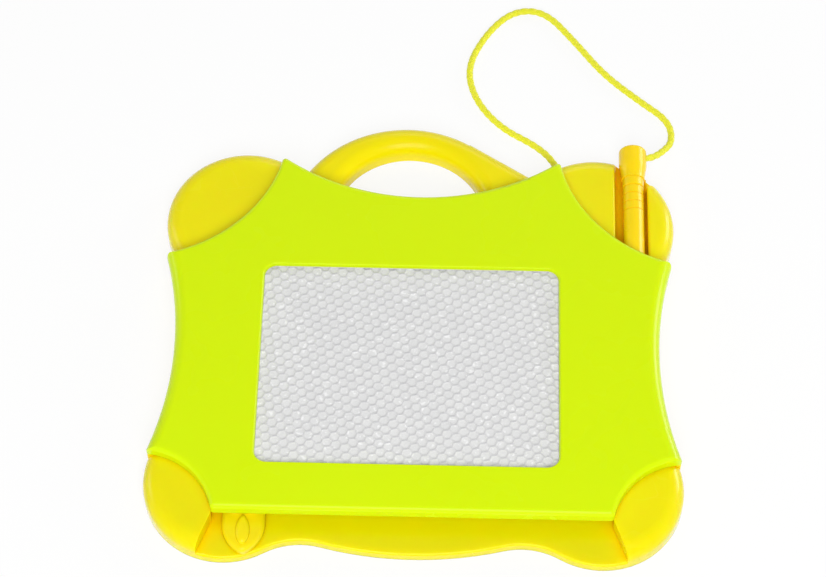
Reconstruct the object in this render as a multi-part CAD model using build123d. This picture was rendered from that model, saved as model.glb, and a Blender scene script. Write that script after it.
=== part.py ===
from build123d import *
import math
import os

# Magnetic drawing board, lying on its back: X to the right, Y up the board to the handle, Z out of its face.
# All sizes are in millimetres and the origin is at the middle of the base, on the surface.

# Heights above the surface
tray_height = 4.5
lobe_height = 11.5
frame_height = 17.0
floor_thickness = 1.8
wall = 2.0
overrun = 1.0
running_gap = 0.3
seat_gap = 0.1
handle_gap = 0.2

# Outline of the lime frame, right half; the left half mirrors it
tip_x, tip_y = 57.8, 79.8
top_dip_y = 60.8
shoulder_x, shoulder_y = 75.2, 47.4
side_top_x, side_top_y = 103.5, 31.3
waist_x, waist_y = 97.6, -13.0
side_foot_x, side_foot_y = 105.7, -59.2
hip_x, hip_y = 87.2, -67.7
foot_x, foot_y = 78.3, -84.3
frame_corner_round = 1.3
frame_wall = 2.0
frame_plate = 1.5
frame_edge_round = 2.0
side_round = 5.0

# Window in the frame, a little left of the middle
window_x, window_y = -2.8, -18.8
window_width, window_length = 119.4, 89.8
window_corner = 4.8
lip_width = 0.6
lip_round = 0.6

# Corner lobes of the casing
upper_lobe_x, upper_lobe_y, upper_lobe_radius = 72.5, 52.9, 32.8
lower_lobe_x, lower_lobe_y, lower_lobe_radius = 74.0, -67.8, 32.4
lobe_round = 6.3
lobe_rib = 1.4
lobe_rib_turn = 30
seat_inset = 0.5

# Tray with its wavy front edge
bulge_radius = 145.0
bulge_y = -97.3
wave_fillet = 29.0
tray_edge_round = 1.0
crease_top_x = 78.4
crease_foot_x, crease_foot_y = 83.9, -98.5
tray_rib = 1.4
tray_rib_count = 5

# Rails that guide the eraser bar
lower_rail_y = -74.5
upper_rail_y = 32.0
rail_thickness = 1.6
rail_height = 6.5
rail_clearance = 0.3
stop_thickness = 2.0

# Eraser bar, its magnet and its thumb knob, parked beyond the window's left edge
slider_park, slider_far = 3.3, 8.3
slider_x = window_x - window_width / 2 - slider_park
slider_travel = window_width + slider_park + slider_far
bar_width = 9.0
bar_height = 4.8
bar_wall = 1.4
bar_rib = 1.2
shoe_width = 16.0
shoe_length = 6.4
shoe_skirt = 1.2
magnet_width, magnet_thickness, magnet_over = 5.0, 1.5, 0.6
magnet_length = window_length + 2 * magnet_over
arm_width, arm_thickness = 10.0, 2.0
peg_radius = 1.6
knob_width = 17.0
knob_thickness = 3.3
knob_tip_y = -98.9
knob_shoulder_y = -86.0
knob_inner_y = -78.2
knob_edge_round = 1.8
knob_tip_round = 3.0
knob_side_share, knob_side_drop_share = 0.72, 0.62
knob_grip_width, knob_grip_height = 5.6, 2.0
knob_grip_top_y, knob_grip_foot_y = -83.3, -97.0
grip_belly_share = 0.56
grip_foot_round, grip_top_round = 1.7, 0.5
grip_crown_round = 1.4

# Drawing panel: a sealed sandwich of two films round a honeycomb core
panel_margin = 3.6
film_thickness = 0.3
core_thickness = 1.4
panel_rim_width = 2.6
tape_thickness = 0.3
tape_width = 3.6
fence_thickness, fence_height = 1.2, 2.2

# Handle across the top
handle_outer_x, handle_outer_y, handle_outer_radius = -6.0, 50.4, 49.8
handle_inner_x, handle_inner_y, handle_inner_radius = -4.6, 56.9, 31.3
handle_leg_x, handle_leg_y = 20.6, 92.9
handle_leg_end_x, handle_leg_end_y = 52.6, 72.4
handle_height = 11.3
handle_round = 5.9
handle_foot_round = 1.9
handle_wall = 2.0
handle_boss_left_x, handle_boss_left_y = -47.5, 63.5
handle_boss_right_x, handle_boss_right_y = 46.5, 63.1

# Screws and the bosses that they bite
boss_radius = 3.2
pad_radius = 4.6
handle_pad_radius = 3.5
pad_height = 4.0
screw_radius = 1.3
screw_length = 9.0
handle_screw_length = 6.0
screw_head_radius, screw_head_height = 2.5, 1.6
screw_recess_radius = 3.0
screw_recess_depth = 2.2
screw_bore_gap = 0.05
screw_cross_width, screw_cross_depth = 0.8, 0.7
screw_head_chamfer = 0.8
channel_screw_gap = 5.0

# Pen channel in the upper right lobe
channel_x = 87.5
channel_width = 13.2
channel_floor = 4.85
channel_wall = 1.8
channel_round = 3.5
channel_end_gap = 0.6
channel_mouth_round = 3.0
channel_lip_round = 1.2

# Pen, lying along Y
pen_x = 88.5
pen_end_y = 90.0
pen_length = 98.0
barrel_radius = 4.35
barrel_bore_radius = 3.1
pen_height = channel_floor + barrel_radius + running_gap
cap_radius = 5.85
cap_foot_radius = 4.9
cap_length = 15.0
cap_seat_gap = 0.7
pen_arch_gap = 0.5
cap_end_round = 1.6
cap_flare_share = 0.55
cap_bore_radius = 3.75
cap_end_wall = 1.0
spigot_length = 4.0
band_length = 4.0
band_rise = 0.15
ring_pitch = 3.9
ring_count = 4
ring_width, ring_depth = 0.5, 0.25
nose_length = 9.0
nose_end_radius = 3.1
nose_spigot_length = 5.0
pen_magnet_radius, pen_magnet_length, pen_magnet_reach = 2.4, 5.0, 0.6

# Screws through the base into the frame; the one at the right sits below the channel's end
channel_foot_y = pen_end_y - pen_length - channel_end_gap
channel_screw_y = channel_foot_y - channel_wall - pad_radius - channel_screw_gap
screw_places = [
    (-59.0, 47.0),
    (0.0, 50.0),
    (59.0, 47.0),
    (-90.0, 8.0),
    (88.0, channel_screw_y),
    (-88.0, -56.0),
    (88.0, -56.0),
]

# Braided cord from the upper right lobe to the pen's cap
cord_diameter = 3.0
cord_hole_gap = 0.3
knot_radius = 3.1
cap_knot_radius = 2.6
cord_hole_y = pen_end_y - cap_end_wall - cap_knot_radius - seat_gap
cord_lift = 0.05
bend_share = 0.45

# The cord's route from its knot in the lobe to the cap
cord_route = [
    (58.7, 79.7, 4.2),
    (56.4, 86.5, 3.7),
    (48.9, 96.6, 1.55),
    (33.0, 105.8, 1.55),
    (21.8, 120.4, 1.55),
    (18.3, 137.4, 1.55),
    (26.6, 155.6, 1.55),
    (38.2, 168.1, 1.55),
    (52.1, 168.0, 1.55),
    (65.0, 151.9, 1.55),
    (77.5, 134.6, 1.55),
    (92.4, 121.2, 1.55),
    (104.8, 111.2, 1.55),
    (106.3, 99.9, 2.3),
    (100.9, 91.9, 6.2),
    (93.4, 85.5, 9.6),
]


def plate(face, low, high):
    return Pos(0, 0, low) * extrude(face, high - low)


def block(x0, x1, y0, y1, z0, z1):
    centre = Pos((x0 + x1) / 2, (y0 + y1) / 2, (z0 + z1) / 2)
    return centre * Box(x1 - x0, y1 - y0, z1 - z0)


def disc(x, y, radius, low, high):
    return Pos(x, y, low) * Cylinder(radius, high - low, align=(Align.CENTER, Align.CENTER, Align.MIN))


def frame_outline():
    right = [
        ThreePointArc((tip_x, tip_y), (shoulder_x, shoulder_y), (side_top_x, side_top_y)),
        ThreePointArc((side_top_x, side_top_y), (waist_x, waist_y), (side_foot_x, side_foot_y)),
        ThreePointArc((side_foot_x, side_foot_y), (hip_x, hip_y), (foot_x, foot_y)),
    ]
    left = [mirror(edge, about=Plane.YZ) for edge in right]
    top = ThreePointArc((-tip_x, tip_y), (0, top_dip_y), (tip_x, tip_y))
    foot = Line((foot_x, foot_y), (-foot_x, foot_y))
    return make_face([top, foot, *right, *left])


def side_plan(grow=0):
    side = ThreePointArc((side_top_x, side_top_y), (waist_x, waist_y), (side_foot_x, side_foot_y))
    centre = side.arc_center
    disk = Circle(side.radius + grow)
    return Rectangle(3 * waist_x, 4 * tip_y) - [Pos(turn * centre.X, centre.Y) * disk for turn in (-1, 1)]


def rounded_sides(grow, radius, low, high):
    slab = plate(side_plan(grow), low, high)
    arcs = slab.edges().group_by(Axis.Z)[-1].filter_by(GeomType.CIRCLE)
    return fillet(arcs, radius)


def inset(face, distance):
    return offset(face, amount=-distance, kind=Kind.INTERSECTION)


def rounded_plate(face, radius, low, high):
    return plate(fillet(face.vertices(), radius), low, high)


def tray_space(grow=0):
    top = crease_top_x + grow
    low = crease_foot_x + grow
    slope = (low - top) / (foot_y - crease_foot_y)
    end_y = crease_foot_y - lower_lobe_radius
    end_x = low + slope * lower_lobe_radius
    points = [
        (-top, lower_rail_y + grow),
        (top, lower_rail_y + grow),
        (top, foot_y),
        (end_x, end_y),
        (-end_x, end_y),
        (-top, foot_y),
    ]
    return make_face(Polyline(*points, close=True))


def wave_plan(shrink=0):
    disk = Circle(lower_lobe_radius - shrink)
    lobes = [Pos(side * lower_lobe_x, lower_lobe_y) * disk for side in (-1, 1)]
    bulge = Pos(0, bulge_y + bulge_radius) * Circle(bulge_radius - shrink)
    band = Pos(0, (lower_lobe_y + bulge_y) / 2) * Rectangle(2 * lower_lobe_x, bulge_radius)
    strip = Pos(0, lower_lobe_y - bulge_radius / 2) * Rectangle(2 * lower_lobe_x, bulge_radius)
    plan = (bulge & band & strip) + lobes[0] + lobes[1]
    notches = [v for v in plan.vertices() if v.Y < lower_lobe_y - lower_lobe_radius / 2]
    return fillet(notches, wave_fillet + shrink)


def lobe(x, y, radius):
    blank = disc(x, y, radius, 0, lobe_height)
    rim = blank.edges().filter_by(GeomType.CIRCLE).sort_by(Axis.Z)[-1]
    return fillet(rim, lobe_round)


def lobe_hollow(x, y, radius):
    blank = disc(x, y, radius - wall, 0, lobe_height - wall)
    rim = blank.edges().filter_by(GeomType.CIRCLE).sort_by(Axis.Z)[-1]
    return fillet(rim, lobe_round - wall)


def lobe_ribs(x, y, radius):
    side = math.copysign(1, x)
    lean = math.copysign(1, y)
    reach = radius - wall / 2
    rib = Pos(reach / 2, 0, 0) * Box(
        reach, lobe_rib, lobe_height - wall, align=(Align.CENTER, Align.CENTER, Align.MIN)
    )
    middle = math.degrees(math.atan2(lean, side))
    turns = (-lobe_rib_turn, 0, lobe_rib_turn)
    return [Pos(x, y, 0) * Rot(0, 0, middle + turn) * rib for turn in turns]


def channel_space(low, grow=0):
    half = channel_width / 2 + grow
    top = lobe_height + overrun
    return block(channel_x - half, channel_x + half, channel_foot_y - grow, pen_end_y + overrun, low, top)


def casing():
    outline = frame_outline()
    core_plan = inset(outline, seat_inset)
    core = plate(core_plan, 0, lobe_height)
    inside = plate(inset(outline, seat_inset + wall), floor_thickness, lobe_height + overrun)
    below_rail = block(-side_foot_x, side_foot_x, crease_foot_y, lower_rail_y, 0, lobe_height + overrun)
    base = plate(wave_plan(), 0, tray_height)
    base_rim = [e for e in base.edges().group_by(Axis.Z)[-1] if e.center().Y < lower_lobe_y]
    base = fillet(base_rim, tray_edge_round)
    tray_cut = plate(tray_space(), 0, lobe_height + overrun)
    uppers = [(side * upper_lobe_x, upper_lobe_y, upper_lobe_radius) for side in (-1, 1)]
    lowers = [(side * lower_lobe_x, lower_lobe_y, lower_lobe_radius) for side in (-1, 1)]
    upper_solids = [lobe(*spec) for spec in uppers]
    lower_solids = [lobe(*spec) - tray_cut for spec in lowers]
    body = core - plate(tray_space(), tray_height, lobe_height + overrun)
    for piece in (base, *upper_solids, *lower_solids):
        body += piece
    body -= inside - below_rail
    kept = core + plate(tray_space(wall), 0, lobe_height)
    channel_shell = channel_space(0, channel_wall) & (upper_solids[1] + core)
    for spec in (*uppers, *lowers):
        hollow = lobe_hollow(*spec) - kept
        for rib in lobe_ribs(*spec):
            hollow -= rib
        body -= hollow
    body -= tray_recess()
    body += channel_shell
    body = body - channel_cut() - channel_recess() - channel_mouth() - channel_lip()
    body += rails()
    body -= plate(handle_plan(handle_gap), floor_thickness, lobe_height + overrun) - handle_keepout(0)
    body += screw_pads()
    body -= screw_holes()
    body -= cap_seat()
    body -= cord_bore()
    body -= knot_ball(knot_radius + running_gap)
    return body


def tray_recess():
    plan = wave_plan(wall) & tray_space(-wall)
    recess = plate(plan, 0, tray_height - floor_thickness)
    pitch = 2 * crease_top_x / (tray_rib_count + 1)
    for i in range(tray_rib_count):
        x = -crease_top_x + pitch * (i + 1)
        recess -= block(x - tray_rib / 2, x + tray_rib / 2, bulge_y, lower_rail_y, 0, tray_height)
    return recess


def channel_cut():
    cut = channel_space(channel_floor)
    edges = [e for e in cut.edges().filter_by(Axis.Y) if e.center().Z < lobe_height]
    return fillet(edges, channel_round)


def channel_mouth():
    slot = Pos(channel_x, upper_lobe_y + upper_lobe_radius) * Rectangle(channel_width, 2 * upper_lobe_radius)
    plan = Pos(upper_lobe_x, upper_lobe_y) * Circle(upper_lobe_radius) - slot
    rounded = fillet(plan.vertices().sort_by(Axis.Y)[-2:], channel_mouth_round)
    return plate(plan - rounded, channel_floor, lobe_height + overrun)


def channel_lip():
    reach = channel_width / 2 + channel_lip_round
    length = pen_end_y - channel_foot_y
    low = lobe_height - channel_lip_round
    lip = block(channel_x - reach, channel_x + reach, channel_foot_y, pen_end_y, low, lobe_height)
    rod = Rot(-90, 0, 0) * Cylinder(channel_lip_round, length, align=(Align.CENTER, Align.CENTER, Align.MIN))
    for x in (channel_x - reach, channel_x + reach):
        lip -= Pos(x, channel_foot_y, low) * rod
    return lip


def cap_seat():
    reach = cap_radius + running_gap
    low = pen_end_y - cap_length - cap_seat_gap
    seat = Pos(0, low, 0) * Rot(-90, 0, 0) * Cylinder(
        reach, cap_length, align=(Align.CENTER, Align.CENTER, Align.MIN)
    )
    return place_pen(seat)


def channel_recess():
    half = channel_width / 2 - channel_wall
    low = pen_end_y - pen_length
    high = pen_end_y - cap_length - cap_seat_gap - wall
    return block(channel_x - half, channel_x + half, low, high, 0, channel_floor - channel_wall)


def rails():
    left = slider_x - shoe_width / 2 - running_gap - stop_thickness
    right = slider_x + slider_travel + shoe_width / 2 + running_gap + stop_thickness
    pieces = []
    for y in (lower_rail_y, upper_rail_y):
        pieces.append(block(left, right, y, y + rail_thickness, 0, rail_height))
        for x in (left, right - stop_thickness):
            low = y if y == lower_rail_y else y - shoe_length / 2
            high = y + shoe_length / 2 + rail_thickness
            pieces.append(block(x, x + stop_thickness, low, high, 0, lobe_height - wall))
    return pieces


def screw_pads():
    pads = [disc(x, y, pad_radius, 0, pad_height) for x, y in screw_places]
    for x, y in handle_boss_places():
        pads.append(disc(x, y, handle_pad_radius, 0, pad_height))
    return pads


def handle_boss_places():
    return [(handle_boss_left_x, handle_boss_left_y), (handle_boss_right_x, handle_boss_right_y)]


def screw_holes():
    holes = []
    for x, y in screw_places + handle_boss_places():
        holes.append(disc(x, y, screw_recess_radius, 0, screw_recess_depth))
        holes.append(disc(x, y, screw_radius + running_gap, 0, pad_height + overrun))
    return holes


def screw(x, y, length):
    top = screw_recess_depth
    head = disc(x, y, screw_head_radius, top - screw_head_height, top)
    head = chamfer(head.edges().sort_by(Axis.Z)[0], screw_head_chamfer)
    for turn in (0, 90):
        slot = Box(screw_head_radius, screw_cross_width, screw_cross_depth)
        low = top - screw_head_height + screw_cross_depth / 2
        head -= Pos(x, y, low) * Rot(0, 0, turn) * slot
    shank = disc(x, y, screw_radius, top, top + length)
    shank = chamfer(shank.edges().sort_by(Axis.Z)[-1], screw_radius / 2)
    return head + shank


def boss(x, y, low, high):
    return disc(x, y, boss_radius, low, high)


def pilot(x, y):
    bore = screw_radius + screw_bore_gap
    return disc(x, y, bore, 0, screw_recess_depth + screw_length + overrun)


def front_frame():
    outline = frame_outline()
    shell = rounded_plate(outline, frame_corner_round, lobe_height, frame_height)
    shell = fillet(shell.edges().group_by(Axis.Z)[-1], frame_edge_round)
    shell &= rounded_sides(0, side_round, lobe_height, frame_height)
    under = frame_height - frame_plate
    cavity = plate(inset(outline, frame_wall), lobe_height - overrun, under)
    shell -= cavity & rounded_sides(frame_wall, side_round - frame_plate, lobe_height - overrun, under)
    lip = 2 * lip_width
    inner = Pos(window_x, window_y, under) * RectangleRounded(window_width, window_length, window_corner)
    outer = Pos(window_x, window_y, frame_height) * RectangleRounded(
        window_width + lip, window_length + lip, window_corner + lip_width
    )
    shell -= loft([inner.face(), outer.face()])
    lip_edges = [
        e
        for e in shell.edges().group_by(Axis.Z)[-1]
        if abs(e.center().X - window_x) < window_width / 2 + lip
        and abs(e.center().Y - window_y) < window_length / 2 + lip
    ]
    shell = fillet(lip_edges, lip_round)
    reach = barrel_radius + band_rise + pen_arch_gap
    arch = Rot(-90, 0, 0) * Cylinder(reach, upper_lobe_y, align=(Align.CENTER, Align.CENTER, Align.MIN))
    shell -= place_pen(arch)
    fence_in = panel_outline(seat_gap)
    fence_out = panel_outline(seat_gap + fence_thickness)
    shell += plate(fence_out - fence_in, under - fence_height, under)
    for x, y in screw_places:
        shell += boss(x, y, pad_height, under)
        shell -= pilot(x, y)
    return shell


def panel_outline(grow):
    margin = 2 * (panel_margin + grow)
    return Pos(window_x, window_y) * Rectangle(window_width + margin, window_length + margin)


def panel_pieces():
    under = frame_height - frame_plate
    tape_low = under - tape_thickness
    film_low = tape_low - film_thickness
    core_low = film_low - core_thickness
    back_low = core_low - film_thickness
    whole = panel_outline(0)
    core = panel_outline(-panel_rim_width)
    tape = whole - panel_outline(-tape_width)
    corner_cut = Pos(window_x, window_y) * Rectangle(window_width, window_length)
    ends = Pos(window_x, window_y) * Rectangle(window_width, 2 * window_length)
    sides = Pos(window_x, window_y) * Rectangle(2 * window_width, window_length)
    tape = tape & (ends + sides + corner_cut)
    return {
        "panel_tape": plate(tape, tape_low, under),
        "front_film": plate(whole, film_low, tape_low),
        "honeycomb_core": plate(core, core_low, film_low),
        "panel_rim": plate(whole - core, core_low, film_low),
        "back_film": plate(whole, back_low, core_low),
    }


def bar_levels():
    low = rail_height + seat_gap
    return low, low + bar_height


def eraser_carrier():
    low, high = bar_levels()
    half = bar_width / 2
    foot = lower_rail_y + rail_thickness / 2
    head = upper_rail_y + rail_thickness / 2
    bar = block(slider_x - half, slider_x + half, foot, head, low, high)
    under = block(
        slider_x - half + bar_wall, slider_x + half - bar_wall, foot, head, low - overrun, high - bar_wall
    )
    bar -= under
    count = int((head - foot) // (2 * bar_width))
    for i in range(1, count):
        y = foot + (head - foot) * i / count
        bar += block(slider_x - half, slider_x + half, y - bar_rib / 2, y + bar_rib / 2, low, high)
    for centre in (foot, head):
        bar += shoe(centre)
    arm_low = arm_bottom()
    bar += block(
        slider_x - arm_width / 2,
        slider_x + arm_width / 2,
        knob_inner_y - 2 * peg_radius - bar_wall,
        foot,
        arm_low,
        arm_low + arm_thickness,
    )
    bar += disc(slider_x, peg_y(), peg_radius, tray_height + running_gap + bar_wall / 2, arm_low + bar_wall)
    return bar


def shoe(centre):
    low, high = bar_levels()
    half = shoe_width / 2
    skirt_low = rail_height - shoe_skirt
    solid = block(
        slider_x - half, slider_x + half, centre - shoe_length / 2, centre + shoe_length / 2, skirt_low, high
    )
    groove = rail_thickness / 2 + rail_clearance
    solid -= block(slider_x - half, slider_x + half, centre - groove, centre + groove, skirt_low, low)
    return solid


def arm_bottom():
    return tray_height + running_gap + knob_thickness + seat_gap


def peg_y():
    return knob_inner_y - peg_radius - bar_wall


def eraser_magnet():
    high = bar_levels()[1]
    half = magnet_width / 2
    middle = window_y
    return block(
        slider_x - half,
        slider_x + half,
        middle - magnet_length / 2,
        middle + magnet_length / 2,
        high,
        high + magnet_thickness,
    )


def eraser_knob():
    half = knob_width / 2
    low = tray_height + running_gap
    tip = (slider_x, knob_tip_y)
    side_y = knob_shoulder_y + (knob_tip_y - knob_shoulder_y) * knob_side_drop_share
    edges = [Line((slider_x - half, knob_inner_y), (slider_x + half, knob_inner_y))]
    for side in (1, -1):
        shoulder = (slider_x + side * half, knob_shoulder_y)
        edges.append(Line((slider_x + side * half, knob_inner_y), shoulder))
        edges.append(ThreePointArc(shoulder, (slider_x + side * half * knob_side_share, side_y), tip))
    plan = make_face(edges)
    plan = fillet(plan.vertices().sort_by(Axis.Y)[0], knob_tip_round)
    knob = plate(plan, low, low + knob_thickness)
    rim = [e for e in knob.edges().group_by(Axis.Z)[-1] if e.center().Y < knob_inner_y - overrun]
    knob = fillet(rim, knob_edge_round)
    knob += grip(low + knob_thickness)
    knob -= disc(slider_x, peg_y(), peg_radius + seat_gap, low, low + knob_thickness)
    return knob


def grip(base):
    half = knob_grip_width / 2
    belly_y = knob_grip_top_y + (knob_grip_foot_y - knob_grip_top_y) * grip_belly_share
    top, foot = (slider_x, knob_grip_top_y), (slider_x, knob_grip_foot_y)
    plan = make_face([ThreePointArc(top, (slider_x + side * half, belly_y), foot) for side in (1, -1)])
    plan = fillet(plan.vertices().sort_by(Axis.Y)[0], grip_foot_round)
    plan = fillet(plan.vertices().sort_by(Axis.Y)[-1], grip_top_round)
    ridge = plate(plan, base - knob_edge_round, base + knob_grip_height)
    return fillet(ridge.edges().group_by(Axis.Z)[-1], grip_crown_round)


def handle_plan(grow=0):
    outer_radius = handle_outer_radius + grow
    outer = Pos(handle_outer_x, handle_outer_y) * Circle(outer_radius)
    inner = Pos(handle_inner_x, handle_inner_y) * Circle(handle_inner_radius - grow)
    root_y = handle_inner_y - grow
    upper = Pos(handle_outer_x, root_y + outer_radius) * Rectangle(2 * outer_radius, 2 * outer_radius)
    lean = math.atan2(handle_leg_end_y - handle_leg_y, handle_leg_end_x - handle_leg_x)
    out_x, out_y = -math.sin(lean) * grow, math.cos(lean) * grow
    leg = Polyline(
        (handle_leg_x + out_x, handle_leg_y + out_y),
        (handle_leg_end_x + out_x, handle_leg_end_y + out_y),
        (handle_leg_end_x + out_x, root_y),
        (handle_inner_x, root_y),
        (handle_inner_x, handle_leg_y + out_y),
        close=True,
    )
    return (outer & upper) + make_face(leg) - inner


def handle_keepout(gap):
    room = inset(frame_outline(), seat_inset + wall + gap)
    disk = Circle(upper_lobe_radius + gap)
    lobes = [Pos(side * upper_lobe_x, upper_lobe_y) * disk for side in (-1, 1)]
    return plate(lobes[0] + lobes[1] - room, 0, frame_height)


def arch_edges(solid, level):
    edges = solid.edges().group_by(Axis.Z)[level]
    return [e for e in edges if e.center().Y > handle_inner_y + 2 * handle_wall]


def handle():
    plan = handle_plan()
    shell = plate(plan, 0, handle_height)
    shell = fillet(arch_edges(shell, -1), handle_round)
    shell = fillet(arch_edges(shell, 0), handle_foot_round)
    shell -= handle_keepout(handle_gap)
    hollow = plate(inset(plan, handle_wall), 0, handle_height - handle_wall)
    hollow = fillet(arch_edges(hollow, -1), handle_round - handle_wall)
    shell -= hollow - handle_keepout(handle_gap + handle_wall)
    shell -= plate(inset(frame_outline(), seat_inset - seat_gap), 0, floor_thickness)
    bore = screw_radius + screw_bore_gap
    bore_top = screw_recess_depth + handle_screw_length + seat_gap
    for x, y in handle_boss_places():
        shell += boss(x, y, pad_height, handle_height - handle_wall)
        shell -= disc(x, y, bore, 0, bore_top)
    return shell


def cord_bore():
    start, end = Vector(*cord_route[0]), Vector(*cord_route[1])
    line = Line(start, end + (end - start))
    section = Plane(origin=start, z_dir=(end - start)) * Circle(cord_diameter / 2 + cord_hole_gap)
    return sweep(section, path=line)


def cord_radii(points):
    radii = []
    for before, here, after in zip(points, points[1:], points[2:]):
        run_in, run_out = here - before, after - here
        turn = math.radians(run_in.get_angle(run_out))
        radii.append(bend_share * min(run_in.length, run_out.length) / math.tan(turn / 2))
    return radii


def cord():
    points = [Vector(*p) for p in cord_route]
    radii = cord_radii(points)
    path = FilletPolyline(*points, radius=radii)
    section = Plane(origin=points[0], z_dir=points[1] - points[0]) * Circle(cord_diameter / 2)
    tube = sweep(section, path=path)
    print("cord radii", [round(r, 1) for r in radii], "length", round(path.length, 1))
    print("cord volume", round(tube.volume), "section times length", round(section.area * path.length))
    side = pen_x + cap_radius + cord_lift
    return tube - block(pen_x, side, cord_hole_y - cap_radius, pen_end_y, tray_height, frame_height)


def knot_ball(radius):
    start, after = Vector(*cord_route[0]), Vector(*cord_route[1])
    centre = start - (after - start).normalized() * knot_radius
    return Pos(*centre) * Sphere(radius)


def casing_knot():
    return knot_ball(knot_radius)


def turned(points):
    outline = make_face(Polyline(*points, close=True))
    return revolve(outline, Axis.Y)


def place_pen(solid):
    return Pos(pen_x, 0, pen_height) * solid


def cap_profile():
    foot = pen_end_y - cap_length
    flare = foot + cap_length * cap_flare_share
    edge = [
        Line((0, foot), (cap_foot_radius, foot)),
        Spline(
            (cap_foot_radius, foot),
            (cap_radius, flare),
            tangents=[(0, 1), (0, 1)],
        ),
        Line((cap_radius, flare), (cap_radius, pen_end_y)),
        Line((cap_radius, pen_end_y), (0, pen_end_y)),
        Line((0, pen_end_y), (0, foot)),
    ]
    return make_face(edge)


def pen_cap():
    foot = pen_end_y - cap_length
    body = revolve(cap_profile(), Axis.Y)
    body = fillet(body.edges().sort_by(Axis.Y)[-1], cap_end_round)
    bore = Pos(0, foot, 0) * Rot(-90, 0, 0) * Cylinder(
        cap_bore_radius, cap_length - cap_end_wall, align=(Align.CENTER, Align.CENTER, Align.MIN)
    )
    hole = Pos(0, cord_hole_y, 0) * Rot(0, 90, 0) * Cylinder(
        cord_diameter / 2 + cord_hole_gap, 2 * cap_radius, align=(Align.CENTER, Align.CENTER, Align.MIN)
    )
    return place_pen(body - bore - hole)


def pen_barrel():
    top = pen_end_y - cap_length
    low = pen_end_y - pen_length + nose_length
    bore = barrel_bore_radius
    spigot = cap_bore_radius - seat_gap
    band_top = top
    band_low = top - band_length
    points = [(bore, low), (barrel_radius, low)]
    for i in reversed(range(ring_count)):
        y = band_low - ring_pitch * i
        points += [
            (barrel_radius, y - ring_width),
            (barrel_radius - ring_depth, y - ring_width),
            (barrel_radius - ring_depth, y),
            (barrel_radius, y),
        ]
    points += [
        (barrel_radius + band_rise, band_low + ring_width),
        (barrel_radius + band_rise, band_top),
        (spigot, band_top),
        (spigot, band_top + spigot_length),
        (bore, band_top + spigot_length),
    ]
    return place_pen(turned(points))


def pen_nose():
    end = pen_end_y - pen_length + pen_magnet_reach
    top = pen_end_y - pen_length + nose_length
    spigot = barrel_bore_radius - seat_gap / 2
    points = [
        (pen_magnet_radius, end),
        (nose_end_radius, end),
        (barrel_radius, top - nose_length / 3),
        (barrel_radius, top),
        (spigot, top),
        (spigot, top + nose_spigot_length),
        (0, top + nose_spigot_length),
        (0, end + pen_magnet_length - pen_magnet_reach),
        (pen_magnet_radius, end + pen_magnet_length - pen_magnet_reach),
    ]
    return place_pen(turned(points))


def pen_magnet():
    end = pen_end_y - pen_length
    rod = Pos(0, end, 0) * Rot(-90, 0, 0) * Cylinder(
        pen_magnet_radius, pen_magnet_length, align=(Align.CENTER, Align.CENTER, Align.MIN)
    )
    return place_pen(chamfer(rod.edges().sort_by(Axis.Y)[0], pen_magnet_reach / 2))


def cap_knot():
    half = cord_diameter / 2
    neck = math.sqrt(cap_knot_radius**2 - half**2)
    profile = [
        ThreePointArc((-cap_knot_radius, 0), (0, cap_knot_radius), (neck, half)),
        Line((neck, half), (cap_radius, half)),
        Line((cap_radius, half), (cap_radius, 0)),
        Line((cap_radius, 0), (-cap_knot_radius, 0)),
    ]
    knot = revolve(make_face(profile), Axis.X)
    return place_pen(Pos(0, cord_hole_y, 0) * knot)


def save(name, solid):
    export_step(solid, os.path.join("parts", name + ".step"))


def main():
    os.makedirs("parts", exist_ok=True)
    pieces = {
        "casing": casing(),
        "front_frame": front_frame(),
        "handle": handle(),
        "eraser_carrier": eraser_carrier(),
        "eraser_magnet": eraser_magnet(),
        "eraser_knob": eraser_knob(),
        "pen_barrel": pen_barrel(),
        "pen_cap": pen_cap(),
        "pen_nose": pen_nose(),
        "pen_magnet": pen_magnet(),
        "cap_knot": cap_knot(),
        "cord": cord(),
        "casing_knot": casing_knot(),
        "casing_screws": Compound([screw(x, y, screw_length) for x, y in screw_places]),
        "handle_screws": Compound([screw(x, y, handle_screw_length) for x, y in handle_boss_places()]),
    }
    pieces.update(panel_pieces())
    for name, solid in pieces.items():
        save(name, solid)


main()
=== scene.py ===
import math
import random

import bmesh
import bpy
from mathutils import Matrix, Vector, noise


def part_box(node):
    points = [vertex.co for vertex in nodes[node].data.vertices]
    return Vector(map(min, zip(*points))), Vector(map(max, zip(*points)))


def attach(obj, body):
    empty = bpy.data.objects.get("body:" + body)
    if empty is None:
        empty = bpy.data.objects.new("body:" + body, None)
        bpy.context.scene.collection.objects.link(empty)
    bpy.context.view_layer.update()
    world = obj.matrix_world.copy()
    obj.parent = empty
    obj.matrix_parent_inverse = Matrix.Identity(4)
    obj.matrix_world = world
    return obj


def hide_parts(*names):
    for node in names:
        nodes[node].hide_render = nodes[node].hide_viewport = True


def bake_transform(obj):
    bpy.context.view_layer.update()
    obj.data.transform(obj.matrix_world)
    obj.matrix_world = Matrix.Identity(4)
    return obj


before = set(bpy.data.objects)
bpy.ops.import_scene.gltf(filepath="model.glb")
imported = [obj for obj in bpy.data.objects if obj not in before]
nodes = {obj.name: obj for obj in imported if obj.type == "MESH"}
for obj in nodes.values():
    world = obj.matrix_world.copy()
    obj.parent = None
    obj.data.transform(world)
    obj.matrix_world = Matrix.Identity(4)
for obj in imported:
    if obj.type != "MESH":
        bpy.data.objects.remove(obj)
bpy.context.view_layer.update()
mm = 0.001
print("frame:", len(nodes), "nodes")

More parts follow.
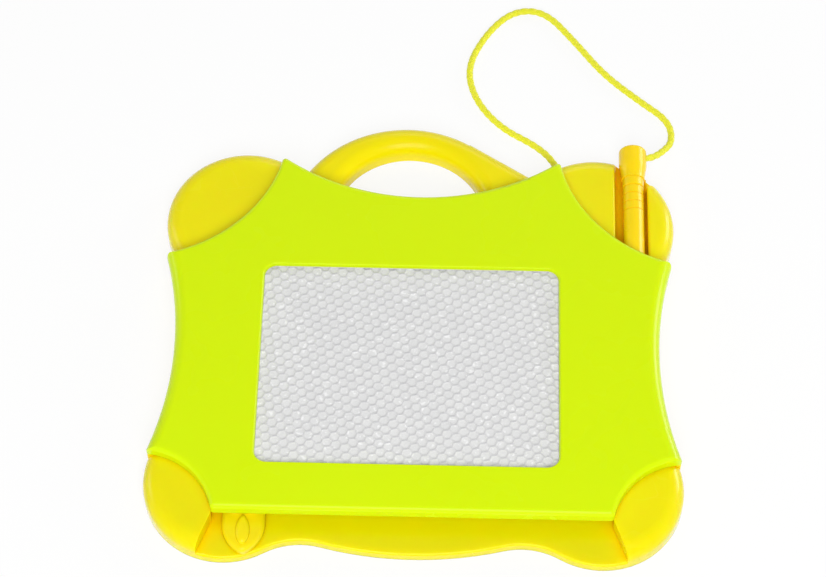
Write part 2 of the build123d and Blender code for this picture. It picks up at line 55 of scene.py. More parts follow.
# The camera fitted to the photograph, lengths in mm, turns in radians and the clipping in metres
shot = {
    "target": (-2.383, 26.0, 0.0),
    "distance": 1123.33,
    "tilt": 0.54105,
    "roll": 0.02857,
    "yaw": 0.02696,
    "focalPixels": 2722.5,
    "imageWidth": 826,
    "sensorWidth": 36.0,
    "clipping": (0.05, 20.0),
}


def setCamera():
    tilt, yaw, roll = shot["tilt"], shot["yaw"], shot["roll"]
    back = Vector((math.sin(yaw) * math.sin(tilt), -math.cos(yaw) * math.sin(tilt), math.cos(tilt)))
    right = (-back).cross(Vector((0, 1, 0))).normalized()
    up = right.cross(-back)
    rolledRight = right * math.cos(roll) + up * math.sin(roll)
    rolledUp = up * math.cos(roll) - right * math.sin(roll)
    data = bpy.data.cameras.new("photoCamera")
    data.sensor_width = shot["sensorWidth"]
    data.lens = shot["focalPixels"] / shot["imageWidth"] * shot["sensorWidth"]
    data.clip_start, data.clip_end = shot["clipping"]
    camera = bpy.data.objects.new("photoCamera", data)
    camera.matrix_world = Matrix((rolledRight, rolledUp, back)).transposed().to_4x4()
    camera.location = (Vector(shot["target"]) + back * shot["distance"]) * mm
    bpy.context.scene.collection.objects.link(camera)
    bpy.context.scene.camera = camera


setCamera()
bpy.context.scene.view_settings.view_transform = "Standard"
print("camera set")


def paint(red, green, blue):
    values = [c / 255 for c in (red, green, blue)]
    return (*[c / 12.92 if c <= 0.04045 else ((c + 0.055) / 1.055) ** 2.4 for c in values], 1.0)


def addNode(tree, kind, **settings):
    node = tree.nodes.new(kind)
    for name, value in settings.items():
        setattr(node, name, value)
    return node


def fill(node, **values):
    for name, value in values.items():
        node.inputs[name.replace("_", " ")].default_value = value
    return node


def link(tree, source, target):
    tree.links.new(source, target)


def makeGroup(name, inputs, outputs):
    group = bpy.data.node_groups.new(name, "ShaderNodeTree")
    for label, kind, value in inputs:
        socket = group.interface.new_socket(name=label, in_out="INPUT", socket_type=kind)
        socket.default_value = value
    for label, kind in outputs:
        group.interface.new_socket(name=label, in_out="OUTPUT", socket_type=kind)
    return group, addNode(group, "NodeGroupInput"), addNode(group, "NodeGroupOutput")


def maths(tree, operation, first, second):
    node = addNode(tree, "ShaderNodeMath", operation=operation)
    for socket, value in zip(node.inputs, (first, second)):
        if isinstance(value, (int, float)):
            socket.default_value = value
        else:
            link(tree, value, socket)
    return node.outputs[0]


def addNoise(tree, place, scale, detail, roughness=0.5):
    noiseNode = fill(addNode(tree, "ShaderNodeTexNoise"), Scale=scale, Detail=detail, Roughness=roughness)
    link(tree, place, noiseNode.inputs["Vector"])
    return noiseNode.outputs


def toneBetween(tree, factor, first, second):
    tone = addNode(tree, "ShaderNodeMix", data_type="RGBA")
    link(tree, factor, tone.inputs["Factor"])
    for socket, value in (("A", first), ("B", second)):
        if isinstance(value, tuple):
            tone.inputs[socket].default_value = value
        else:
            link(tree, value, tone.inputs[socket])
    return tone.outputs["Result"]


# Moulded plastic: cloudy colour with painted shade that warms it in crevices, orange peel, fine grain and
# hairline scuffs
mouldedLook = {
    "cloudScale": 26.0,
    "peelScale": 420.0,
    "grainScale": 3200.0,
    "warpScale": 35.0,
    "hairScale": 75.0,
    "hairBend": 0.04,
    "hairWidth": 0.006,
    "scuffedFrom": 0.56,
    "paintedShadeSamples": 8,
    "paintedShadeFrom": 0.8,
    "paintedShadeGain": 1.6,
    "plainBelow": 0.002,  # no painted shade in the strip that meets the surface
    "fullFrom": 0.0042,
    "unevenGloss": 0.22,
    "scuffGloss": 0.16,
    "grainHeight": 0.12,
    "scuffHeight": 0.3,
}


def mouldedGroup():
    group, start, end = makeGroup(
        "mouldedPlastic",
        [
            ("Colour", "NodeSocketColor", (0.8, 0.8, 0.8, 1)),
            ("Deep Colour", "NodeSocketColor", (0.6, 0.6, 0.6, 1)),
            ("Painted Shade Colour", "NodeSocketColor", (0.5, 0.4, 0.3, 1)),
            ("Painted Shade Reach", "NodeSocketFloat", 0.008),
            ("Mottle", "NodeSocketFloat", 0.3),
            ("Gloss Roughness", "NodeSocketFloat", 0.25),
            ("Peel", "NodeSocketFloat", 0.5),
            ("Scuffs", "NodeSocketFloat", 0.5),
        ],
        [("Colour", "NodeSocketColor"), ("Roughness", "NodeSocketFloat"), ("Height", "NodeSocketFloat")],
    )
    place = addNode(group, "ShaderNodeTexCoord").outputs["Object"]
    cloud = addNoise(group, place, mouldedLook["cloudScale"], detail=3.0, roughness=0.55)["Fac"]
    peel = addNoise(group, place, mouldedLook["peelScale"], detail=1.5, roughness=0.4)["Fac"]
    grain = addNoise(group, place, mouldedLook["grainScale"], detail=2.0, roughness=0.6)["Fac"]
    warp = addNoise(group, place, mouldedLook["warpScale"], detail=2.0)["Color"]

    # Hairline scuffs run in patches
    bent = addNode(group, "ShaderNodeMix", data_type="VECTOR")
    bent.inputs["Factor"].default_value = mouldedLook["hairBend"]
    link(group, place, bent.inputs["A"])
    link(group, warp, bent.inputs["B"])
    hairs = addNode(group, "ShaderNodeTexVoronoi", feature="DISTANCE_TO_EDGE")
    fill(hairs, Scale=mouldedLook["hairScale"])
    link(group, bent.outputs["Result"], hairs.inputs["Vector"])
    line = maths(group, "LESS_THAN", hairs.outputs["Distance"], mouldedLook["hairWidth"])
    patch = maths(group, "GREATER_THAN", cloud, mouldedLook["scuffedFrom"])
    scuff = maths(group, "MULTIPLY", maths(group, "MULTIPLY", line, patch), start.outputs["Scuffs"])

    # The colour drifts between two tones and turns to a third, a painted shade, in sheltered places
    share = maths(group, "MULTIPLY", cloud, start.outputs["Mottle"])
    tone = toneBetween(group, share, start.outputs["Colour"], start.outputs["Deep Colour"])
    # Painted shade: an occlusion mask tints sheltered places towards the shade colour
    paintedShadeProbe = addNode(group, "ShaderNodeAmbientOcclusion", samples=mouldedLook["paintedShadeSamples"])
    link(group, start.outputs["Painted Shade Reach"], paintedShadeProbe.inputs["Distance"])
    paintedShadeShare = maths(group, "SUBTRACT", mouldedLook["paintedShadeFrom"], paintedShadeProbe.outputs["AO"])
    paintedShadeShare = maths(group, "MAXIMUM", maths(group, "MULTIPLY", paintedShadeShare, mouldedLook["paintedShadeGain"]), 0.0)
    paintedShadeShare = maths(group, "MINIMUM", paintedShadeShare, 1.0)
    rise = addNode(group, "ShaderNodeSeparateXYZ")
    link(group, place, rise.inputs[0])
    aboveFloor = addNode(group, "ShaderNodeMapRange")
    fill(aboveFloor, From_Min=mouldedLook["plainBelow"], From_Max=mouldedLook["fullFrom"])
    link(group, rise.outputs["Z"], aboveFloor.inputs["Value"])
    paintedShadeShare = maths(group, "MULTIPLY", paintedShadeShare, aboveFloor.outputs["Result"])
    link(group, toneBetween(group, paintedShadeShare, tone, start.outputs["Painted Shade Colour"]), end.inputs["Colour"])

    uneven = maths(group, "MULTIPLY", maths(group, "SUBTRACT", cloud, 0.5), mouldedLook["unevenGloss"])
    rough = maths(group, "ADD", start.outputs["Gloss Roughness"], uneven)
    rough = maths(group, "ADD", rough, maths(group, "MULTIPLY", scuff, mouldedLook["scuffGloss"]))
    link(group, rough, end.inputs["Roughness"])

    waves = maths(group, "MULTIPLY", peel, start.outputs["Peel"])
    height = maths(group, "ADD", waves, maths(group, "MULTIPLY", grain, mouldedLook["grainHeight"]))
    height = maths(group, "SUBTRACT", height, maths(group, "MULTIPLY", scuff, mouldedLook["scuffHeight"]))
    link(group, height, end.inputs["Height"])
    return group


mouldedPlastic = mouldedGroup()


def newMaterial(name):
    material = bpy.data.materials.new(name)
    material.use_nodes = True
    tree = material.node_tree
    tree.nodes.clear()
    shader = addNode(tree, "ShaderNodeBsdfPrincipled")
    output = addNode(tree, "ShaderNodeOutputMaterial")
    link(tree, shader.outputs[0], output.inputs["Surface"])
    return material, tree, shader


def addBump(tree, shader, height, strength, distance):
    bump = fill(addNode(tree, "ShaderNodeBump"), Strength=strength, Distance=distance)
    link(tree, height, bump.inputs["Height"])
    link(tree, bump.outputs["Normal"], shader.inputs["Normal"])


# What the moulded pieces share; the glow's reach differs for red, green and blue
plasticLook = {
    "glowColours": (1.0, 0.6, 0.1),
    "rimBlend": 0.5,
    "rimPower": 1.5,
    "rimRoughness": 0.18,
    "bump": 0.35,
    "bumpDepth": 0.00004,
}


def plastic(name, look):
    material, tree, shader = newMaterial(name)
    group = addNode(tree, "ShaderNodeGroup", node_tree=mouldedPlastic)
    group.inputs["Colour"].default_value = look["colour"]
    group.inputs["Deep Colour"].default_value = look["deep"]
    # Painted shade colour and its reach, laid where the plastic is sheltered
    group.inputs["Painted Shade Colour"].default_value = look["paintedShadeColour"]
    group.inputs["Painted Shade Reach"].default_value = look["paintedShadeReach"]
    group.inputs["Mottle"].default_value = look["mottle"]
    group.inputs["Gloss Roughness"].default_value = look["roughness"]
    group.inputs["Peel"].default_value = look["peel"]
    group.inputs["Scuffs"].default_value = look["scuffs"]
    link(tree, group.outputs["Colour"], shader.inputs["Base Color"])
    link(tree, group.outputs["Roughness"], shader.inputs["Roughness"])
    fill(shader, Specular_IOR_Level=look["specular"], Subsurface_Weight=look["glow"])
    fill(shader, Subsurface_Radius=plasticLook["glowColours"], Subsurface_Scale=look["glowReach"])
    edgeOn = fill(addNode(tree, "ShaderNodeLayerWeight"), Blend=plasticLook["rimBlend"]).outputs["Facing"]
    rim = maths(tree, "MULTIPLY", maths(tree, "POWER", edgeOn, plasticLook["rimPower"]), look["rimGloss"])
    link(tree, rim, shader.inputs["Coat Weight"])
    fill(shader, Coat_Roughness=plasticLook["rimRoughness"])
    addBump(tree, shader, group.outputs["Height"], plasticLook["bump"], plasticLook["bumpDepth"])
    return material


# In each finish, the crevice colour and its reach set the painted shade in sheltered places
finishes = {
    "frameLime": {
        "colour": paint(212, 239, 6),
        "deep": paint(207, 234, 4),
        "paintedShadeColour": paint(206, 216, 0),
        "paintedShadeReach": 0.004,
        "glow": 0.25,
        "glowReach": 0.003,
        "mottle": 0.4,
        "roughness": 0.26,
        "peel": 0.5,
        "scuffs": 0.5,
        "rimGloss": 1.0,
        "specular": 0.1,
    },
    "casingYellow": {
        "colour": paint(252, 227, 0),
        "deep": paint(247, 221, 0),
        "paintedShadeColour": paint(255, 192, 0),
        "paintedShadeReach": 0.009,
        "glow": 0.7,
        "glowReach": 0.005,
        "mottle": 0.4,
        "roughness": 0.24,
        "peel": 0.5,
        "scuffs": 0.4,
        "rimGloss": 1.0,
        "specular": 0.14,
    },
    "handleYellow": {
        "colour": paint(240, 224, 8),
        "deep": paint(235, 217, 4),
        "paintedShadeColour": paint(246, 196, 0),
        "paintedShadeReach": 0.006,
        "glow": 0.25,
        "glowReach": 0.003,
        "mottle": 0.4,
        "roughness": 0.24,
        "peel": 0.5,
        "scuffs": 0.4,
        "rimGloss": 1.0,
        "specular": 0.1,
    },
    "sliderYellow": {
        "colour": paint(243, 223, 8),
        "deep": paint(238, 215, 4),
        "paintedShadeColour": paint(248, 214, 4),
        "paintedShadeReach": 0.001,
        "glow": 0.25,
        "glowReach": 0.003,
        "mottle": 0.4,
        "roughness": 0.24,
        "peel": 0.4,
        "scuffs": 0.6,
        "rimGloss": 1.0,
        "specular": 0.18,
    },
    "penAmber": {
        "colour": paint(255, 217, 14),
        "deep": paint(252, 208, 8),
        "paintedShadeColour": paint(253, 198, 2),
        "paintedShadeReach": 0.002,
        "glow": 0.25,
        "glowReach": 0.003,
        "mottle": 0.4,
        "roughness": 0.26,
        "peel": 0.4,
        "scuffs": 0.5,
        "rimGloss": 1.0,
        "specular": 0.16,
    },
}


def dress(nodeName, material):
    slots = nodes[nodeName].material_slots
    if not slots:
        nodes[nodeName].data.materials.append(None)
    for slot in nodes[nodeName].material_slots:
        slot.material = material


plastics = {name: plastic(name, look) for name, look in finishes.items()}
dress("front_frame", plastics["frameLime"])
dress("casing", plastics["casingYellow"])
dress("handle", plastics["handleYellow"])
for name in ("eraser_carrier", "eraser_knob"):
    dress(name, plastics["sliderYellow"])
for name in ("pen_barrel", "pen_cap", "pen_nose"):
    dress(name, plastics["penAmber"])
print("plastics done")


# Steel screws, magnets, films and tape
speckDepth = 0.00005


def speckled(name, look):
    material, tree, shader = newMaterial(name)
    place = addNode(tree, "ShaderNodeTexCoord").outputs["Object"]
    specks = addNoise(tree, place, look["scale"], detail=3.0, roughness=0.6)["Fac"]
    link(tree, toneBetween(tree, specks, look["colour"], look["other"]), shader.inputs["Base Color"])
    rough = maths(tree, "ADD", maths(tree, "MULTIPLY", specks, look["roughSpan"]), look["roughness"])
    link(tree, rough, shader.inputs["Roughness"])
    fill(shader, Metallic=look["metallic"], Specular_IOR_Level=look["specular"])
    addBump(tree, shader, specks, look["bump"], speckDepth)
    return material


smallFinishes = {
    "zincPlate": {
        "colour": paint(196, 198, 202),
        "other": paint(150, 152, 158),
        "scale": 2600.0,
        "roughness": 0.22,
        "roughSpan": 0.25,
        "metallic": 1.0,
        "specular": 0.5,
        "bump": 0.2,
    },
    "flexMagnet": {
        "colour": paint(58, 50, 46),
        "other": paint(38, 33, 31),
        "scale": 1500.0,
        "roughness": 0.6,
        "roughSpan": 0.2,
        "metallic": 0.0,
        "specular": 0.4,
        "bump": 0.4,
    },
    "sinteredMagnet": {
        "colour": paint(92, 92, 96),
        "other": paint(60, 60, 64),
        "scale": 2200.0,
        "roughness": 0.4,
        "roughSpan": 0.3,
        "metallic": 0.8,
        "specular": 0.5,
        "bump": 0.4,
    },
    "foamTape": {
        "colour": paint(246, 245, 238),
        "other": paint(228, 226, 218),
        "scale": 2400.0,
        "roughness": 0.75,
        "roughSpan": 0.2,
        "metallic": 0.0,
        "specular": 0.2,
        "bump": 0.8,
    },
    "whiteFilm": {
        "colour": paint(236, 236, 236),
        "other": paint(222, 223, 225),
        "scale": 300.0,
        "roughness": 0.4,
        "roughSpan": 0.15,
        "metallic": 0.0,
        "specular": 0.4,
        "bump": 0.15,
    },
}
smallParts = {
    "zincPlate": ["casing_screws", "handle_screws"],
    "flexMagnet": ["eraser_magnet"],
    "sinteredMagnet": ["pen_magnet"],
    "foamTape": ["panel_tape"],
    "whiteFilm": ["back_film", "panel_rim"],
}
for name, look in smallFinishes.items():
    material = speckled(name, look)
    for nodeName in smallParts[name]:
        dress(nodeName, material)

filmLook = {
    "colour": paint(250, 250, 252),
    "alpha": 0.06,
    "roughness": 0.3,
    "specular": 0.12,
    "waveScale": 60.0,
    "bump": 0.1,
    "bumpDepth": 0.0002,
}


def clearFilm():
    material, tree, shader = newMaterial("clearFilm")
    place = addNode(tree, "ShaderNodeTexCoord").outputs["Object"]
    waves = addNoise(tree, place, filmLook["waveScale"], detail=2.0)["Fac"]
    fill(shader, Base_Color=filmLook["colour"], Alpha=filmLook["alpha"], Roughness=filmLook["roughness"])
    fill(shader, Specular_IOR_Level=filmLook["specular"])
    addBump(tree, shader, waves, filmLook["bump"], filmLook["bumpDepth"])
    return material


dress("front_film", clearFilm())
print("small parts done")

# Honeycomb screen, in mm and degrees: rounded cells whose flat walls, glued in pairs, are thicker
screen = {
    "pitch": 3.9,
    "turn": 10.0,
    "pairedWall": 0.4,
    "singleWall": 0.22,
    "cornerCut": 0.16,
    "slope": 0.06,
    "filmGap": 0.03,
    "sink": 0.12,
    "dome": 0.05,
    "swell": 0.5,
    "swellRiseShare": 0.7,
    "wander": 0.22,
    "wanderScale": 0.63,
    "weld": 0.001,
    # Painted shade shares for the wall corners and the wall sides
    "cornerShade": 0.5,
    "sideShade": 0.3,
    "seed": 7,
}


def latticeCorners(centre):
    reach = screen["pitch"] / math.sqrt(3)
    turn = math.radians(screen["turn"])
    corners = []
    for i in range(6):
        angle = turn + math.radians(60 * i)
        point = centre + Vector((math.cos(angle), math.sin(angle), 0)) * reach
        drift = noise.noise_vector(point * screen["wanderScale"]) * screen["wander"]
        corners.append(point + Vector((drift.x, drift.y, 0)))
    return corners


def isPaired(i):
    return i % 3 == 1


def cellRing(corners, extra):
    ring = []
    for i, corner in enumerate(corners):
        after = corners[(i + 1) % 6]
        inward = Vector((corner.y - after.y, after.x - corner.x, 0)).normalized()
        width = screen["pairedWall"] if isPaired(i) else screen["singleWall"]
        shift = inward * (width / 2 + extra)
        cut = screen["cornerCut"]
        ring.append(corner.lerp(after, cut) + shift)
        ring.append(after.lerp(corner, cut) + shift)
    return ring


def cellCentres(low, high):
    turn = math.radians(screen["turn"])
    across = Vector((math.cos(turn + math.pi / 6), math.sin(turn + math.pi / 6), 0)) * screen["pitch"]
    along = Vector((math.cos(turn + math.pi / 2), math.sin(turn + math.pi / 2), 0)) * screen["pitch"]
    middle = (low + high) / 2
    count = int((high - low).length / screen["pitch"])
    margin = screen["pitch"]
    for i in range(-count, count + 1):
        for j in range(-count, count + 1):
            point = middle + across * i + along * j
            inX = low.x - margin < point.x < high.x + margin
            inY = low.y - margin < point.y < high.y + margin
            if inX and inY:
                yield Vector((point.x, point.y, 0))


def screenMesh():
    low, high = [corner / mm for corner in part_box("honeycomb_core")]
    top = high.z - screen["filmGap"]
    sunk = top - screen["sink"]
    risen = sunk + screen["dome"] * screen["swellRiseShare"]
    noise.seed_set(screen["seed"])
    rng = random.Random(screen["seed"])
    bm = bmesh.new()
    tone = bm.faces.layers.float.new("cellToneAndShade")
    for centre in cellCentres(low, high):
        corners = latticeCorners(centre)
        inner = cellRing(corners, 0)
        lower = cellRing(corners, screen["slope"])
        outer = [bm.verts.new((p.x, p.y, top)) for p in corners]
        rim = [bm.verts.new((p.x, p.y, top)) for p in inner]
        foot = [bm.verts.new((p.x, p.y, sunk)) for p in lower]
        swollen = [centre.lerp(p, screen["swell"]) for p in lower]
        swell = [bm.verts.new((p.x, p.y, risen)) for p in swollen]
        crown = bm.verts.new((centre.x, centre.y, sunk + screen["dome"]))
        shade = rng.random()
        parts = []
        # Painted shade: near-level paired walls and their sides darkest, corners halfway, other wall
        # sides a little darker than single wall tops; fillings get a random tone
        for i in range(6):
            first, second, third = 2 * i, 2 * i + 1, (2 * i + 2) % 12
            paintedWallShade = 1.0 if isPaired(i) else 0.0
            parts.append(([outer[i], outer[(i + 1) % 6], rim[second], rim[first]], 0, paintedWallShade))
            parts.append(([outer[(i + 1) % 6], rim[third], rim[second]], 0, screen["cornerShade"]))
        for i in range(12):
            j = (i + 1) % 12
            sideShade = 1.0 if i % 2 == 0 and isPaired(i // 2) else screen["sideShade"]
            parts.append(([rim[i], rim[j], foot[j], foot[i]], 0, sideShade))
            parts.append(([foot[i], foot[j], swell[j], swell[i]], 1, shade))
            parts.append(([swell[i], swell[j], crown], 1, shade))
        for loop, index, value in parts:
            face = bm.faces.new(loop)
            face.material_index = index
            face.smooth = index == 1
            face[tone] = value
    bmesh.ops.remove_doubles(bm, verts=bm.verts, dist=screen["weld"])

    # Cut at the panel's edges, with a border down to its back
    for point, normal in (
        (Vector((low.x, 0, 0)), Vector((-1, 0, 0))),
        (Vector((high.x, 0, 0)), Vector((1, 0, 0))),
        (Vector((0, low.y, 0)), Vector((0, -1, 0))),
        (Vector((0, high.y, 0)), Vector((0, 1, 0))),
    ):
        geometry = bm.verts[:] + bm.edges[:] + bm.faces[:]
        bmesh.ops.bisect_plane(bm, geom=geometry, plane_co=point, plane_no=normal, clear_outer=True)
    border = [edge for edge in bm.edges if edge.is_boundary]
    grown = bmesh.ops.extrude_edge_only(bm, edges=border)["geom"]
    for vert in [item for item in grown if isinstance(item, bmesh.types.BMVert)]:
        vert.co.z = low.z
    bmesh.ops.recalc_face_normals(bm, faces=bm.faces)
    bmesh.ops.scale(bm, vec=(mm, mm, mm), verts=bm.verts)
    mesh = bpy.data.meshes.new("screenCells")
    bm.to_mesh(mesh)
    bm.free()
    return mesh


# The paired-wall colour is painted shade on the near-level walls, which are also thicker; the glint
# colour is a painted highlight
cellLook = {
    "singleWall": paint(214, 214, 215),
    "pairedWall": paint(192, 192, 195),
    "filling": paint(224, 224, 223),
    "fillingDeep": paint(216, 216, 216),
    "paintedGlint": paint(252, 252, 252),
    "toneSpread": 0.6,
    "veilScale": 420.0,
    "veilShare": 0.5,
    "paintedGlintScale": 520.0,
    "paintedGlintFrom": 0.64,
    "paintedGlintShare": 0.6,
    "roughness": 0.5,
    "specular": 0.15,
    "wallBump": 0.2,
    "fillingBump": 0.25,
    "bumpDepth": 0.0001,
}


def wallMaterial():
    material, tree, shader = newMaterial("cellWall")
    place = addNode(tree, "ShaderNodeTexCoord").outputs["Object"]
    veil = addNoise(tree, place, cellLook["veilScale"], detail=2.0)["Fac"]
    paintedWallShade = addNode(tree, "ShaderNodeAttribute", attribute_name="cellToneAndShade").outputs["Fac"]
    # Painted shade: the face attribute darkens paired walls, wall sides and corners
    plain = toneBetween(tree, paintedWallShade, cellLook["singleWall"], cellLook["pairedWall"])
    fade = maths(tree, "MULTIPLY", veil, cellLook["veilShare"])
    link(tree, toneBetween(tree, fade, plain, cellLook["fillingDeep"]), shader.inputs["Base Color"])
    fill(shader, Roughness=cellLook["roughness"], Specular_IOR_Level=cellLook["specular"])
    addBump(tree, shader, veil, cellLook["wallBump"], cellLook["bumpDepth"])
    return material


def fillingMaterial():
    material, tree, shader = newMaterial("cellFilling")
    place = addNode(tree, "ShaderNodeTexCoord").outputs["Object"]
    specks = addNoise(tree, place, cellLook["paintedGlintScale"], detail=2.0)["Fac"]
    cellToneAndShade = addNode(tree, "ShaderNodeAttribute", attribute_name="cellToneAndShade").outputs["Fac"]
    spread = maths(tree, "MULTIPLY", cellToneAndShade, cellLook["toneSpread"])
    plain = toneBetween(tree, spread, cellLook["filling"], cellLook["fillingDeep"])
    # Painted highlights: bright specks laid into the filling's colour
    spots = maths(tree, "GREATER_THAN", specks, cellLook["paintedGlintFrom"])
    paintedGlints = maths(tree, "MULTIPLY", spots, cellLook["paintedGlintShare"])
    link(tree, toneBetween(tree, paintedGlints, plain, cellLook["paintedGlint"]), shader.inputs["Base Color"])
    fill(shader, Roughness=cellLook["roughness"], Specular_IOR_Level=cellLook["specular"])
    addBump(tree, shader, specks, cellLook["fillingBump"], cellLook["bumpDepth"])
    return material


def addPiece(name, mesh):
    piece = bpy.data.objects.new(name, mesh)
    bpy.context.scene.collection.objects.link(piece)
    return piece


cells = addPiece("screenCells", screenMesh())
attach(cells, "board")
cells.data.materials.append(wallMaterial())
cells.data.materials.append(fillingMaterial())
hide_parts("honeycomb_core")
print("screen done:", len(cells.data.polygons), "faces")

# The braided cord, in mm and degrees, including bendFrom, bendTo and bendTurn
cordLook = {
    "route": [
        (58.7, 79.7, 4.2),
        (56.4, 86.5, 3.7),
        (48.9, 96.6, 1.6),
        (33.0, 105.8, 1.6),
        (21.8, 120.4, 1.6),
        (18.3, 137.4, 1.6),
        (26.6, 155.6, 1.6),
        (38.2, 168.1, 1.6),
        (52.1, 168.0, 1.6),
        (65.0, 151.9, 1.6),
        (77.5, 134.6, 1.6),
        (92.4, 121.2, 1.6),
        (104.8, 111.2, 1.6),
        (106.3, 99.9, 2.3),
        (101.2, 91.9, 6.0),
        (96.6, 87.0, 9.0),
        (93.6, 86.3, 9.5),
    ],
    "diameter": 3.0,
    "yarns": 8,
    "lay": 7.2,
    "yarnWidth": 0.82,
    "yarnThickness": 0.42,
    "weave": 0.14,
    "sides": 6,
    "stepsPerLay": 20,
    "resolution": 24,
    "bendTurn": 9.0,
    "bendFrom": 71.9,
    "bendTo": 104.4,
}


def routeLine():
    curve = bpy.data.curves.new("cordLine", "CURVE")
    curve.dimensions = "3D"
    spline = curve.splines.new("NURBS")
    points = cordLook["route"]
    spline.points.add(len(points) - 1)
    for target, point in zip(spline.points, points):
        target.co = (*[c * mm for c in point], 1.0)
    spline.order_u = 3
    spline.use_endpoint_u = True
    spline.resolution_u = cordLook["resolution"]
    holder = bpy.data.objects.new("cordLine", curve)
    bpy.context.scene.collection.objects.link(holder)
    line = bpy.data.meshes.new_from_object(holder)
    places = [vert.co.copy() for vert in line.vertices]
    bpy.data.objects.remove(holder)
    bpy.data.meshes.remove(line)
    return places


def evenly(points, step):
    lengths = [0.0]
    for before, here in zip(points, points[1:]):
        lengths.append(lengths[-1] + (here - before).length)
    count = max(2, round(lengths[-1] / step))
    spaced, i = [], 0
    for k in range(count + 1):
        want = lengths[-1] * k / count
        while i < len(lengths) - 2 and lengths[i + 1] < want:
            i += 1
        span = lengths[i + 1] - lengths[i]
        spaced.append(points[i].lerp(points[i + 1], (want - lengths[i]) / span if span else 0.0))
    return spaced, lengths[-1]


def framesAlong(points):
    frames, side = [], Vector((0, 0, 1))
    for i, point in enumerate(points):
        ahead = points[min(i + 1, len(points) - 1)] - points[max(i - 1, 0)]
        ahead.normalize()
        side = (side - ahead * side.dot(ahead)).normalized()
        frames.append((point, side.copy(), ahead.cross(side)))
    return frames


def braidMesh(points, length, look):
    bm = bmesh.new()
    frames = framesAlong(points)
    half = look["diameter"] / 2 * mm
    middle = half - (look["yarnThickness"] / 2 + look["weave"]) * mm
    for way in (1, -1):
        for yarn in range(look["yarns"]):
            rings = []
            for i, (point, side, other) in enumerate(frames):
                along = length * i / (len(frames) - 1)
                turn = way * 2 * math.pi * along / (look["lay"] * mm) + 2 * math.pi * yarn / look["yarns"]
                crossing = look["yarns"] * (along / (look["lay"] * mm) * 2) + (yarn if way > 0 else -yarn)
                over = math.sin(math.pi * crossing / 2 + (0 if way > 0 else math.pi))
                out = side * math.cos(turn) + other * math.sin(turn)
                across = (side * -math.sin(turn) + other * math.cos(turn)) * way
                centre = point + out * (middle + over * look["weave"] * mm)
                ring = []
                for k in range(look["sides"]):
                    angle = 2 * math.pi * k / look["sides"]
                    wide = across * math.cos(angle) * look["yarnWidth"] / 2 * mm
                    thick = out * math.sin(angle) * look["yarnThickness"] / 2 * mm
                    ring.append(bm.verts.new(centre + wide + thick))
                rings.append(ring)
            for before, after in zip(rings, rings[1:]):
                for k in range(look["sides"]):
                    j = (k + 1) % look["sides"]
                    face = bm.faces.new([before[k], before[j], after[j], after[k]])
                    face.smooth = True
                    face.material_index = 0 if way > 0 else 1
            bm.faces.new(rings[0])
            bm.faces.new(rings[-1])
    bmesh.ops.recalc_face_normals(bm, faces=bm.faces)
    mesh = bpy.data.meshes.new("braidedCord")
    bm.to_mesh(mesh)
    bm.free()
    return mesh


yarnLook = {
    "lime": paint(232, 236, 30),
    "yellow": paint(244, 238, 60),
    "deep": paint(214, 214, 14),
    "fibreScale": 2600.0,
    "deepShare": 0.45,
    "roughness": 0.62,
    "sheen": 0.35,
    "specular": 0.2,
    "bump": 0.5,
    "bumpDepth": 0.00008,
}


def yarnMaterial(name, colour):
    material, tree, shader = newMaterial(name)
    place = addNode(tree, "ShaderNodeTexCoord").outputs["Object"]
    fibres = addNoise(tree, place, yarnLook["fibreScale"], detail=3.0)["Fac"]
    share = maths(tree, "MULTIPLY", fibres, yarnLook["deepShare"])
    link(tree, toneBetween(tree, share, colour, yarnLook["deep"]), shader.inputs["Base Color"])
    fill(shader, Roughness=yarnLook["roughness"], Specular_IOR_Level=yarnLook["specular"])
    fill(shader, Sheen_Weight=yarnLook["sheen"])
    addBump(tree, shader, fibres, yarnLook["bump"], yarnLook["bumpDepth"])
    return material


cordPoints, cordLength = evenly(routeLine(), cordLook["lay"] * mm / cordLook["stepsPerLay"])
braid = addPiece("braidedCord", braidMesh(cordPoints, cordLength, cordLook))
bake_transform(braid)
limeYarn = yarnMaterial("yarnLime", yarnLook["lime"])
yellowYarn = yarnMaterial("yarnYellow", yarnLook["yellow"])
braid.data.materials.append(limeYarn)
braid.data.materials.append(yellowYarn)
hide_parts("cord")
for name in ("casing_knot", "cap_knot"):
    dress(name, yellowYarn)
print("cord done:", round(cordLength, 4), "m")

# Floor, world and lamps, in metres and watts
studio = {
    "floorSize": 6.0,
    "floorColour": paint(248, 248, 248),
    "seenWhite": 0.84,  # share of plain white that the eye sees in the floor
    "worldLevel": 0.25,
    "drop": 0.0001,  # how far the floor lies below the base
    "touching": 0.0006,  # shorter rays pass through the floor
}
lamps = {
    "front": {"place": (0.04, -1.05, 1.2), "size": 1.0, "power": 22.8},
    "backRight": {"place": (1.1, 0.65, 0.36), "size": 0.5, "power": 5.6},
    "left": {"place": (-1.15, 0.3, 0.45), "size": 0.4, "power": 1.6},
    "back": {"place": (0.14, 1.0, 0.7), "size": 0.5, "power": 1.6},
}


def seenByEye(tree):
    path = addNode(tree, "ShaderNodeLightPath")
    seen = maths(tree, "MAXIMUM", path.outputs["Is Camera Ray"], path.outputs["Is Glossy Ray"])
    return maths(tree, "MAXIMUM", seen, path.outputs["Is Transmission Ray"])


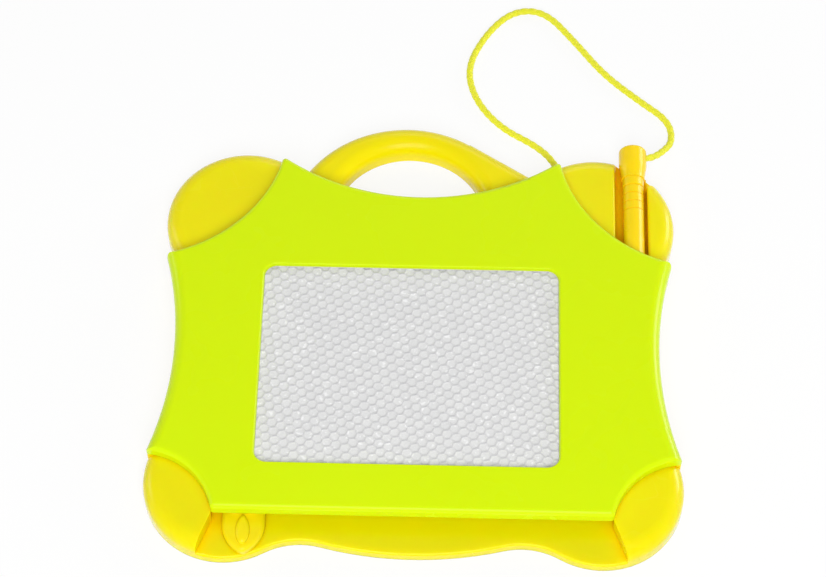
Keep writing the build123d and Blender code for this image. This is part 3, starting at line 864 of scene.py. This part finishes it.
def addFloor():
    mesh = bpy.data.meshes.new("floor")
    half = studio["floorSize"] / 2
    corners = [(-half, -half, 0), (half, -half, 0), (half, half, 0), (-half, half, 0)]
    mesh.from_pydata(corners, [], [(0, 1, 2, 3)])
    floor = bpy.data.objects.new("floor", mesh)
    floor.location.z = -studio["drop"]
    bpy.context.scene.collection.objects.link(floor)
    material = bpy.data.materials.new("paleFloor")
    material.use_nodes = True
    tree = material.node_tree
    tree.nodes.clear()
    output = addNode(tree, "ShaderNodeOutputMaterial")
    matte = fill(addNode(tree, "ShaderNodeBsdfDiffuse"), Color=studio["floorColour"])
    glow = fill(addNode(tree, "ShaderNodeEmission"), Color=(1, 1, 1, 1), Strength=1.0)
    mix = addNode(tree, "ShaderNodeMixShader")
    link(tree, maths(tree, "MULTIPLY", seenByEye(tree), studio["seenWhite"]), mix.inputs[0])
    link(tree, matte.outputs[0], mix.inputs[1])
    link(tree, glow.outputs[0], mix.inputs[2])

    # Clear from below, so that the underside of the board shows and gets some light
    reached = addNode(tree, "ShaderNodeLightPath").outputs["Ray Length"]
    near = maths(tree, "LESS_THAN", reached, studio["touching"])
    below = addNode(tree, "ShaderNodeNewGeometry").outputs["Backfacing"]
    whole = addNode(tree, "ShaderNodeMixShader")
    link(tree, maths(tree, "MAXIMUM", near, below), whole.inputs[0])
    link(tree, mix.outputs[0], whole.inputs[1])
    link(tree, addNode(tree, "ShaderNodeBsdfTransparent").outputs[0], whole.inputs[2])
    link(tree, whole.outputs[0], output.inputs["Surface"])
    mesh.materials.append(material)


def addWorld():
    world = bpy.data.worlds.new("softStudio")
    world.use_nodes = True
    tree = world.node_tree
    tree.nodes.clear()
    output = addNode(tree, "ShaderNodeOutputWorld")
    lit = fill(addNode(tree, "ShaderNodeBackground"), Color=(1, 1, 1, 1), Strength=studio["worldLevel"])
    seen = fill(addNode(tree, "ShaderNodeBackground"), Color=(1, 1, 1, 1), Strength=1.0)
    mix = addNode(tree, "ShaderNodeMixShader")
    link(tree, seenByEye(tree), mix.inputs[0])
    link(tree, lit.outputs[0], mix.inputs[1])
    link(tree, seen.outputs[0], mix.inputs[2])
    link(tree, mix.outputs[0], output.inputs["Surface"])
    bpy.context.scene.world = world


def addLamp(name, look):
    data = bpy.data.lights.new(name, "AREA")
    data.shape = "SQUARE"
    data.size = look["size"]
    data.energy = look["power"]
    lamp = bpy.data.objects.new(name, data)
    lamp.location = look["place"]
    lamp.rotation_mode = "QUATERNION"
    lamp.rotation_quaternion = (-Vector(look["place"])).to_track_quat("-Z", "Y")
    bpy.context.scene.collection.objects.link(lamp)


addFloor()
addWorld()
for name, look in lamps.items():
    addLamp(name, look)
print("studio done")
